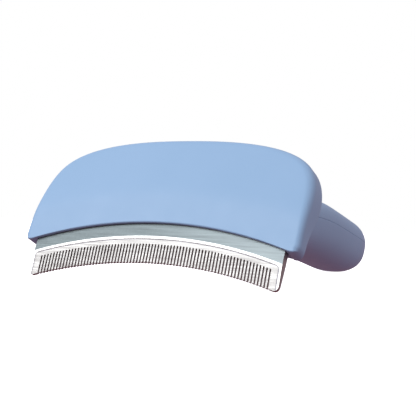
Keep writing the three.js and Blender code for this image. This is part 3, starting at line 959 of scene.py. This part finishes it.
# ---- the handle ---------------------------------------------------------------------------------
@dataclass
class Grip:
    """The arched handle: squarish ovals across a rising centre line, closed by a round tail."""

    stations: tuple = (
        (8, 25.5, 13, 12),
        (18, 26.6, 12.6, 12.6),
        (30, 29.6, 12.4, 13.2),
        (44, 35.2, 12.6, 13.2),
        (60, 42.2, 12.8, 12.8),
        (78, 49.6, 13.6, 13.2),
        (96, 56.6, 14.3, 13.8),
        (114, 62.2, 14.7, 14.2),
        (132, 66.4, 14.8, 14.0),
        (148, 69.9, 14.7, 13.7),
        (172, 75.2, 14.6, 13.5),
    )
    power: float = 2.45
    tail_start: float = 148.0
    tail_end: float = 171.65
    tail_power: float = 2.3
    wall: float = 2.4

    def along(self, y: np.ndarray, column: int) -> np.ndarray:
        """One column of the stations, as a cubic through each pair with the slopes of its neighbours."""
        table = np.array(self.stations, float)
        at, value = table[:, 0], table[:, column]
        slope = np.gradient(value, at)
        i = np.clip(np.searchsorted(at, y) - 1, 0, len(at) - 2)
        width = at[i + 1] - at[i]
        t = np.clip((y - at[i]) / width, 0, 1)
        return (
            (2 * t**3 - 3 * t**2 + 1) * value[i]
            + (t**3 - 2 * t**2 + t) * width * slope[i]
            + (3 * t**2 - 2 * t**3) * value[i + 1]
            + (t**3 - t**2) * width * slope[i + 1]
        )

    def points(self, angles: np.ndarray, y: np.ndarray, shrink: float = 0.0) -> np.ndarray:
        """Points of the section at each depth, drawn in by a wall's thickness.

        Args:
            angles: parameters round the section.
            y: depths behind the comb.
            shrink: how far inside the surface.

        Returns:
            The points.
        """
        angles, y = np.broadcast_arrays(angles, y)
        end = self.tail_end - shrink
        past = np.clip((y - self.tail_start) / (end - self.tail_start), 0.0, 1.0)
        close = (1.0 - past**self.tail_power) ** (1.0 / self.tail_power)
        half_x = (self.along(y, 2) - shrink) * close
        half_z = (self.along(y, 3) - shrink) * close
        x, z = squared_oval(angles, half_x, half_z, self.power)
        return np.stack([x, y, self.along(y, 1) + z], axis=-1)

    def depths(self, start: float, shrink: float = 0.0) -> np.ndarray:
        """Depths of the rings from start to the tail's pole, closer together round the tail."""
        straight = np.linspace(start, self.tail_start, 56)
        turn = np.linspace(0, np.pi / 2, 22)[1:]
        tail = self.tail_end - shrink - self.tail_start
        return np.concatenate([straight, self.tail_start + tail * np.sin(turn)])


@dataclass
class Shells:
    """The upper shell, which is also the rear housing and the neck, and the lower shell."""

    head: Head
    grip: Grip
    seam: float = 0.178  # the seam's parameter round the section, a little above the middle
    seam_gap: float = 0.004
    neck_end: float = 24.0
    gap: float = 0.3
    side_wall: float = 2.0
    back_step: float = 2.2
    back_swell: float = 2.4
    edge_inset: float = 0.7
    edge_round: float = 1.9
    fillet: float = 7.0
    back_wall: float = 2.0
    softness: float = 0.12  # round of the shells' sharp edges
    cover_screw: tuple = (42.0, 24.0)  # place across and height of the cover's screws
    pad: tuple = (7.4, 4.2, 5.2)  # depth, radius and length of the pads that they pass
    cover_well: tuple = (9.0, 20.0)  # depth at which their wells start, and length
    screw_y: tuple = (64.0, 104.0, 144.0)
    seam_rise: float = 3.0  # the seam's height above the handle's middle at its screws
    boss: float = 3.6  # radius of the upper shell's bosses
    pillar: float = 4.6  # radius of the lower shell's pillars
    shank: float = 1.6  # radius of the holes for the screws' shanks
    well: float = 3.1  # radius of the wells for their heads
    well_floor: float = 1.2  # how far the wells' closed ends stay inside the handle's surface
    well_roof: float = 5.0  # how far the wells stay below the seam
    button_y: float = 30.0
    button_half: tuple = (8.3, 6.3)
    button_levels: tuple = (31.0, 70.0)
    mouth_steps: tuple = ((44.0, 9.4), (22.0, 11.5))  # half width and depth
    mouth_front: float = -20.0
    mouth_low: float = -14.0
    mouth_top: float = 19.3

    def back(self, x: np.ndarray, z: np.ndarray) -> np.ndarray:
        """Depth of the housing's back: it swells from the rim by 1 minus the reach to the fourth power."""
        reach = np.minimum(np.hypot(x / self.head.half_width, (z - self.head.centre_z) / 23.0), 1.0)
        return self.head.rim_depth(x, z) + self.back_step + self.back_swell * (1.0 - reach**4)

    def arcs(self, count: int) -> tuple:
        """Parameters of the upper and the lower part of the section, split at the seam.

        Args:
            count: how many points each part has.

        Returns:
            The upper and the lower parameters, closer together at the head's lower corners.
        """
        upper = np.linspace(self.seam, np.pi - self.seam, count)
        fine = np.linspace(np.pi - self.seam, 2 * np.pi + self.seam, 2001)
        corner = np.pi + 0.375
        weight = 1.0 + 3.0 * np.exp(-(((fine - corner) / 0.08) ** 2))
        weight += 3.0 * np.exp(-(((fine - (3 * np.pi - corner)) / 0.08) ** 2))
        travelled = np.concatenate([[0.0], np.cumsum((weight[1:] + weight[:-1]) / 2)])
        lower = np.interp(np.linspace(0, travelled[-1], count), travelled, fine)
        return upper, lower

    def bell(self, angles: np.ndarray, inner: bool) -> np.ndarray:
        """Rings of the housing: lip, rounded edge, back, and the fillet that turns into the neck.

        Args:
            angles: directions round the head and the neck.
            inner: true for the inside of the wall.

        Returns:
            The rings, in order from the lip to the end of the neck.
        """
        head, grip = self.head, self.grip
        ox, oz, nx, nz = head.ring(angles)
        reach = np.hypot(ox, oz - head.centre_z)
        lean = np.maximum(nx * np.cos(angles) + nz * np.sin(angles), 0.3)
        rim = head.rim_depth(ox, oz)
        wall = self.back_wall if inner else 0.0

        def at(inset: np.ndarray | float, depth: np.ndarray) -> np.ndarray:
            """Points set in from the outline, at a depth."""
            scale = 1.0 - inset / lean / reach
            z = head.centre_z + (oz - head.centre_z) * scale
            return np.stack(np.broadcast_arrays(ox * scale, depth, z), axis=-1)

        lip = self.side_wall + self.gap
        if inner:
            first = [at(lip + 1.8, rim - 2.5), at(lip + 1.8, rim + 0.2)]
            edge = lip + 1.8
        else:
            turn = np.linspace(0, np.pi / 2, 8)[:, None]
            rounded = at(self.edge_inset + self.edge_round * (1 - np.cos(turn)),
                         rim + self.gap + self.edge_round * np.sin(turn))
            first = [at(lip, rim - 2.5), at(lip, rim + self.gap), *rounded]
            edge = self.edge_inset + self.edge_round
        start = at(edge, rim)
        shrink = grip.wall if inner else 0.0
        neck = grip.points(angles, np.full_like(angles, 18.0), shrink)
        for _ in range(3):
            gap_x, gap_z = start[:, 0] - neck[:, 0], start[:, 2] - neck[:, 2]
            length = np.hypot(gap_x, gap_z)
            radius = np.minimum(self.fillet, 0.6 * length)
            depth = self.back(neck[:, 0], neck[:, 2]) - wall + radius
            neck = grip.points(angles, depth, shrink)
        away = np.concatenate([span(length, radius, np.linspace(0, 1, 24)),
                               radius * (1 - np.sin(np.linspace(0, np.pi / 2, 12)[1:, None]))])
        share = away / length
        x = neck[:, 0] + gap_x * share
        z = neck[:, 2] + gap_z * share
        settle_in = smoothstep((length - away) / 3.0)
        edge_depth = rim + self.gap + self.edge_round if not inner else rim + 0.2
        level = edge_depth + (self.back(x, z) - wall - edge_depth) * settle_in
        spread = np.stack([x, level + round_over(away, radius), z], axis=-1)
        shares = np.linspace(0, 1, 5)[1:, None]
        down = grip.points(angles, neck[:, 1] + (self.neck_end - neck[:, 1]) * shares, shrink)
        return np.concatenate([np.stack(first), spread, down])

    def screw_places(self) -> list[tuple]:
        """Each handle screw's depth, with the height of the seam and the handle's half height there."""
        y = np.array(self.screw_y)
        seam = self.grip.along(y, 1) + self.seam_rise
        return list(zip(self.screw_y, seam.tolist(), self.grip.along(y, 3).tolist()))

    def upper(self, plate: PlateFrame) -> bpy.types.Object:
        """The rear housing, the whole neck and the handle above the seam, as one closed wall.

        Args:
            plate: the comb plate's frame.

        Returns:
            The upper shell.
        """
        upper, lower = self.arcs(120)
        upper = np.concatenate([[upper[0] + self.seam_gap], upper[1:-1], [upper[-1] - self.seam_gap]])
        lower = np.concatenate([[upper[-1]], lower[1:-1], [upper[0] + 2 * np.pi]])
        angles = np.concatenate([upper, lower[1:-1]])
        skin = Skin(plate)
        walls = []
        for inner in (False, True):
            rings = self.bell(angles, inner)
            skin.grid(rings, wrap=True)
            shrink = self.grip.wall if inner else 0.0
            depths = self.grip.depths(self.neck_end, shrink)
            top = self.grip.points(upper[None], depths[:, None], shrink)
            skin.grid(top)
            walls.append((rings, top))
        (outer, outer_top), (inside, inside_top) = walls
        skin.grid(np.stack([outer[0], inside[0]]), wrap=True)
        start = len(upper) - 1
        under = [np.concatenate([rings[-1, start:], rings[-1, :1]]) for rings, _ in walls]
        skin.strip(*under)
        for column in (0, -1):
            skin.strip(outer_top[:, column], inside_top[:, column])
        shell = skin.build("upper_shell")
        soften(shell, self.softness)
        x, z = self.cover_screw
        sides = (-x, x)
        pad_y, pad, pad_length = self.pad
        work(shell, Work.JOIN, [rod(plate, (side, pad_y, z), pad, pad_length, "y") for side in sides])
        places = self.screw_places()
        solid = self.grip.wall + self.seam_rise
        bosses = [rod(plate, (0, y, seam + 0.2), self.boss, half - solid) for y, seam, half in places]
        work(shell, Work.JOIN, bosses)
        well_y, well_length = self.cover_well
        cutters = [rod(plate, (side, 0, z), self.shank, 30, "y") for side in sides]
        cutters += [rod(plate, (side, well_y, z), self.well, well_length, "y") for side in sides]
        cutters += [rod(plate, (0, y, seam - 2), self.shank, 9.5) for y, seam, _ in places]
        cutters.append(stadium(plate, self.button_half, self.button_y, *self.button_levels))
        steps = np.array(self.mouth_steps, float)
        right = np.repeat(steps, 2, axis=0)
        right[::2, 1] = np.concatenate([[self.mouth_front], steps[:-1, 1]])
        mouth = [*map(tuple, right), *((-x, y) for x, y in right[::-1])]
        cutters.append(prism(plate, mouth, self.mouth_low, self.mouth_top))
        work(shell, Work.CUT, cutters)
        smooth(shell, crease=30)
        return shell

    def lower(self, plate: PlateFrame) -> bpy.types.Object:
        """The handle below the seam, with a pillar and a well for each screw, closed from below.

        Args:
            plate: the comb plate's frame.

        Returns:
            The lower shell.
        """
        _, lower = self.arcs(120)
        lower = np.concatenate([[lower[0] + self.seam_gap], lower[1:-1], [lower[-1] - self.seam_gap]])
        skin = Skin(plate)
        start = self.neck_end + self.gap
        walls = []
        for shrink in (0.0, self.grip.wall):
            rings = self.grip.points(lower[None], self.grip.depths(start, shrink)[:, None], shrink)
            skin.grid(rings)
            walls.append(rings)
        outer, inside = walls
        skin.strip(outer[0], inside[0])
        for column in (0, -1):
            skin.strip(outer[:, column], inside[:, column])
        shell = skin.build("lower_shell")
        soften(shell, self.softness)
        pillars, shanks, wells = [], [], []
        for y, seam, half_z in self.screw_places():
            floor = seam - self.seam_rise - half_z + self.well_floor
            pillars.append(rod(plate, (0, y, floor), self.pillar, seam - self.gap - floor))
            shanks.append(rod(plate, (0, y, seam - 8), self.shank, 12))
            wells.append(rod(plate, (0, y, floor), self.well, seam - self.well_roof - floor))
        work(shell, Work.JOIN, pillars)
        work(shell, Work.CUT, shanks + wells)
        smooth(shell, crease=30)
        return shell


def stadium(plate: PlateFrame, half: tuple, y: float, low: float, high: float) -> bpy.types.Object:
    """An upright cutting bar of oblong section with round ends.

    Args:
        plate: the comb plate's frame.
        half: half its width and half its depth.
        y: where it stands behind the comb.
        low: height of its foot.
        high: height of its top.

    Returns:
        The closed bar.
    """
    outline = stadium_ring(half, 96)
    levels = [(low, 0.0), (low, 1.0), (high, 1.0), (high, 0.0)]
    rings = [np.column_stack([outline * share, np.full(len(outline), z)]) for z, share in levels]
    skin = Skin(plate)
    skin.grid(np.stack(rings) + [0, y, 0], wrap=True)
    return skin.build("stadium")


def stadium_ring(half: tuple, columns: int) -> np.ndarray:
    """An oblong with round ends: a circle's points pushed apart by what the width exceeds the depth."""
    angle = np.linspace(0, 2 * np.pi, columns, endpoint=False) + np.pi / columns
    half_x, half_y = half
    x = half_y * np.cos(angle) + np.sign(np.cos(angle)) * (half_x - half_y)
    return np.column_stack([x, half_y * np.sin(angle)])


# ---- the ejector's visible pieces ---------------------------------------------------------------
@dataclass
class Button:
    """The push button: an oblong key with a rounded shoulder, a dished top and grip ridges."""

    half: tuple = (8.0, 6.0)
    y: float = 30.0
    base: float = 32.9
    top: float = 52.5
    shoulder: float = 1.4
    dish: float = 0.7
    ridge: float = 0.22
    ridge_pitch: float = 1.7
    socket: tuple = (1.5, 7.0)  # radius and length of the blind hole from below
    columns: int = 128

    def build(self, plate: PlateFrame) -> bpy.types.Object:
        """Rings up the side, round the shoulder and in to the middle of the dished top.

        Args:
            plate: the comb plate's frame.

        Returns:
            The button.
        """
        outline = stadium_ring(self.half, self.columns)
        turn = np.linspace(0, np.pi / 2, 10)[1:]
        side = np.linspace(self.base, self.top - self.shoulder, 12)
        half_y = self.half[1]
        start = 1 - self.shoulder / half_y
        inward = start * np.linspace(1, 0, 30)[1:]
        round_share = 1 - self.shoulder * (1 - np.cos(turn)) / half_y
        round_height = self.top - self.shoulder * (1 - np.sin(turn))
        share = np.concatenate([[0.0], np.ones(len(side)), round_share, inward])
        height = np.concatenate([[self.base], side, round_height, np.full(len(inward), self.top)])
        x = outline[None, :, 0] * share[:, None]
        y = outline[None, :, 1] * share[:, None]
        inside = np.clip((start - share) / start, 0.0, 1.0)[:, None]
        is_top = (np.arange(len(share)) > len(side) + len(turn))[:, None]
        waves = 0.5 + 0.5 * np.cos(2 * np.pi * y / self.ridge_pitch)
        fade = smoothstep(inside / 0.25)
        drop = self.dish * smoothstep(inside) - self.ridge * waves * fade
        z = height[:, None] - np.where(is_top, drop, 0.0)
        skin = Skin(plate)
        skin.grid(np.stack([x, y + self.y, np.broadcast_to(z, x.shape)], axis=-1), wrap=True)
        button = skin.build("button")
        work(button, Work.CUT, [rod(plate, (0, self.y, self.base - 1), *self.socket)])
        smooth(button, crease=35)
        return button


@dataclass
class Spring:
    """A return spring: round wire wound round its guide pin, with closed ends."""

    x: float
    y: float = 8.9
    low: float = 13.9
    high: float = 26.7
    coil: float = 1.75
    wire: float = 0.3
    turns: float = 6.0
    travel: float = 7.8

    def build(self, plate: PlateFrame, name: str) -> bpy.types.Object:
        """A circle carried along a helix whose rise is slow in its first and last turn.

        Args:
            plate: the comb plate's frame.
            name: the piece's name.

        Returns:
            The spring.
        """
        t = np.linspace(0, 1, int(self.turns * 28))
        angle = 2 * np.pi * self.turns * t
        closed = 1.0 / self.turns
        rise = np.clip((t - closed * 0.7) / (1 - 1.4 * closed), 0, 1)
        solid = 2.1 * self.wire
        height = self.low + self.wire + solid * np.clip(t / closed, 0, 1) * 0.35
        height = height + rise * (self.high - self.low - 2 * self.wire - 0.7 * solid)
        height = height + solid * 0.35 * np.clip((t - 1 + closed) / closed, 0, 1)
        around = np.linspace(0, 2 * np.pi, 10, endpoint=False)
        radius = self.coil + self.wire * np.cos(around)[None]
        thin = np.concatenate([[0.0], np.ones(len(t) - 2), [0.0]])[:, None]
        radius = self.coil + (radius - self.coil) * thin
        x = self.x + radius * np.cos(angle)[:, None]
        y = self.y + radius * np.sin(angle)[:, None]
        z = height[:, None] + self.wire * np.sin(around)[None] * thin
        skin = Skin(plate)
        skin.grid(np.stack([x, y, z], axis=-1), wrap=True)
        return skin.build(name, crease=60)

    def follow(self, plate: PlateFrame, piece: bpy.types.Object) -> None:
        """Gives the spring its own copy of its mesh; the axis and the anchor at its lower end are worked out
        but not used.
        """
        axis = plate.direction((0, 0, 1))
        anchor = plate.place(np.array([self.x, self.y, self.low]))
        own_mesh(piece)


# ---- the studio ---------------------------------------------------------------------------------
@dataclass(frozen=True)
class Studio:
    """The plain pale floor, the soft lights and the camera."""

    azimuth: float = 28.684
    elevation: float = -0.732
    roll: float = -2.125
    distance: float = 379.7
    lens: float = 91.84
    target: tuple = (11.5, -73.81, 27.03)
    floor_size: float = 8.0

    def camera(self) -> None:
        """Sets the camera on its bearing, at its distance from the target, and rolls it."""
        a, e = np.radians(self.azimuth), np.radians(self.elevation)
        back = Vector((np.sin(a) * np.cos(e), -np.cos(a) * np.cos(e), np.sin(e)))
        data = bpy.data.cameras.new("camera")
        data.lens = self.lens
        data.sensor_width = 36.0
        data.clip_start = 0.01
        data.clip_end = 100.0
        camera = bpy.data.objects.new("camera", data)
        camera.location = (Vector(self.target) + back * self.distance) * MM
        camera.rotation_mode = "QUATERNION"
        turn = (-back).to_track_quat("-Z", "Y")
        rolled = Matrix.Rotation(np.radians(-self.roll), 3, "Z").to_quaternion()
        camera.rotation_quaternion = turn @ rolled
        bpy.context.scene.collection.objects.link(camera)
        bpy.context.scene.camera = camera

    def floor(self) -> None:
        """A pale sweep for the tool to stand on."""
        half = self.floor_size / 2
        corners = [(-half, -half, 0), (half, -half, 0), (half, half, 0), (-half, half, 0)]
        mesh = bpy.data.meshes.new("floor")
        mesh.from_pydata(corners, [], [(0, 1, 2, 3)])
        floor = bpy.data.objects.new("floor", mesh)
        bpy.context.scene.collection.objects.link(floor)
        material, tree, output, place = new_material("white studio paper")
        tone = mottle(tree, place, 400.0, 0.0, 1.0)
        shader = add_node(
            tree,
            "ShaderNodeBsdfPrincipled",
            {"Roughness": 0.9, "Emission Color": (1, 1, 1, 1), "Emission Strength": 1.0},
            {"Base Color": colour_between(tree, "FFFFFF", "FAFAFA", tone)},
        )
        tree.links.new(shader.outputs["BSDF"], output.inputs["Surface"])
        dress(floor, material)
        floor.visible_diffuse = False
        floor.visible_glossy = False

    def light(self, name: str, place: tuple, aim: tuple, size: tuple, power: float, colour: str) -> None:
        """Adds one soft box.

        Args:
            name: the light's name.
            place: where it stands, in metres.
            aim: the point it faces.
            size: its width and height, in metres.
            power: in watts.
            colour: an sRGB hex colour.
        """
        data = bpy.data.lights.new(name, "AREA")
        data.shape = "RECTANGLE"
        data.size, data.size_y = size
        data.energy = power
        data.color = linear(colour)[:3]
        lamp = bpy.data.objects.new(name, data)
        lamp.location = place
        lamp.rotation_mode = "QUATERNION"
        lamp.rotation_quaternion = (Vector(aim) - Vector(place)).to_track_quat("-Z", "Y")
        bpy.context.scene.collection.objects.link(lamp)

    def world(self) -> None:
        """A white surround for the eye, and a dim one that darkens to a warm shade below for the light."""
        world = bpy.data.worlds.new("studio")
        bpy.context.scene.world = world
        world.use_nodes = True
        tree = world.node_tree
        tree.nodes.clear()
        output = add_node(tree, "ShaderNodeOutputWorld")
        place = add_node(tree, "ShaderNodeTexCoord").outputs["Generated"]
        height = add_node(tree, "ShaderNodeSeparateXYZ", links={"Vector": place}).outputs["Z"]
        share = add_node(
            tree, "ShaderNodeMapRange", {"From Min": -0.6, "From Max": 0.4}, {"Value": height}
        ).outputs["Result"]
        shade = colour_between(tree, "895865", "C6BCC6", share)
        dim = add_node(tree, "ShaderNodeBackground", {"Strength": 1.0}, {"Color": shade})
        white = add_node(tree, "ShaderNodeBackground", {"Color": (1, 1, 1, 1), "Strength": 1.0})
        seen = add_node(tree, "ShaderNodeLightPath").outputs["Is Camera Ray"]
        mix = add_node(
            tree, "ShaderNodeMixShader", links={0: seen, 1: dim.outputs[0], 2: white.outputs[0]}
        )
        tree.links.new(mix.outputs[0], output.inputs["Surface"])

    def build(self) -> None:
        """Builds the whole studio."""
        self.camera()
        self.floor()
        self.world()
        self.light("key", (-0.8, -1.36, 1.15), (0, -0.05, 0.03), (1.4, 1.2), 25.0, "F0F7FF")
        bpy.context.scene.view_settings.view_transform = "Standard"


# ---- the tool -----------------------------------------------------------------------------------
@dataclass
class DesheddingTool:
    """All the pieces, built in order."""

    comb: Comb = field(default_factory=Comb)
    head: Head = field(default_factory=Head)
    grip: Grip = field(default_factory=Grip)
    button: Button = field(default_factory=Button)
    pin_x: float = 25.0

    def build(self) -> None:
        """Builds the new pieces and dresses the ones that the frame already holds."""
        plate = PlateFrame.from_frame(self.comb.top)
        looks = Finishes.make()
        comb = self.comb.build(plate, looks)
        enter(comb, HOUSING, "comb_steel", "comb_blade")
        cover = Cover(self.head).build(plate)
        dress(cover, looks.blue)
        enter(cover, HOUSING, "blue_plastic", "head_cover")
        shells = Shells(self.head, self.grip)
        upper = shells.upper(plate)
        dress(upper, looks.blue)
        enter(upper, HOUSING, "blue_plastic", "handle_upper_shell")
        lower = shells.lower(plate)
        dress(lower, looks.blue)
        enter(lower, HOUSING, "blue_plastic", "handle_lower_shell")
        button = self.button.build(plate)
        dress(button, looks.button)
        enter(button, EJECTOR, "button_plastic", "push_button")
        for number, x in enumerate((-self.pin_x, self.pin_x), start=1):
            spring = Spring(x)
            piece = spring.build(plate, f"spring_{number}")
            dress(piece, looks.wire)
            enter(piece, HOUSING, "pin_steel", f"return_spring_{number}")
            spring.follow(plate, piece)
        self.dress_frame(looks)

    def dress_frame(self, looks: Finishes) -> None:
        """Gives every piece that keeps its CAD shape the finish of its real material."""
        finishes = {
            "blade_holder": looks.grey,
            "ejector_carriage": looks.grey,
            "ejector_bar": looks.strip,
            "guide_pin": looks.wire,
        }
        for name, node in frame["nodes"].items():
            match = next((look for start, look in finishes.items() if name.startswith(start)), looks.plated)
            dress(node, match)


def main() -> None:
    """Builds the tool and its studio."""
    logging.basicConfig(level=logging.INFO, format="%(name)s %(message)s")
    DesheddingTool().build()
    Studio().build()


if __name__ == "__main__":
    main()
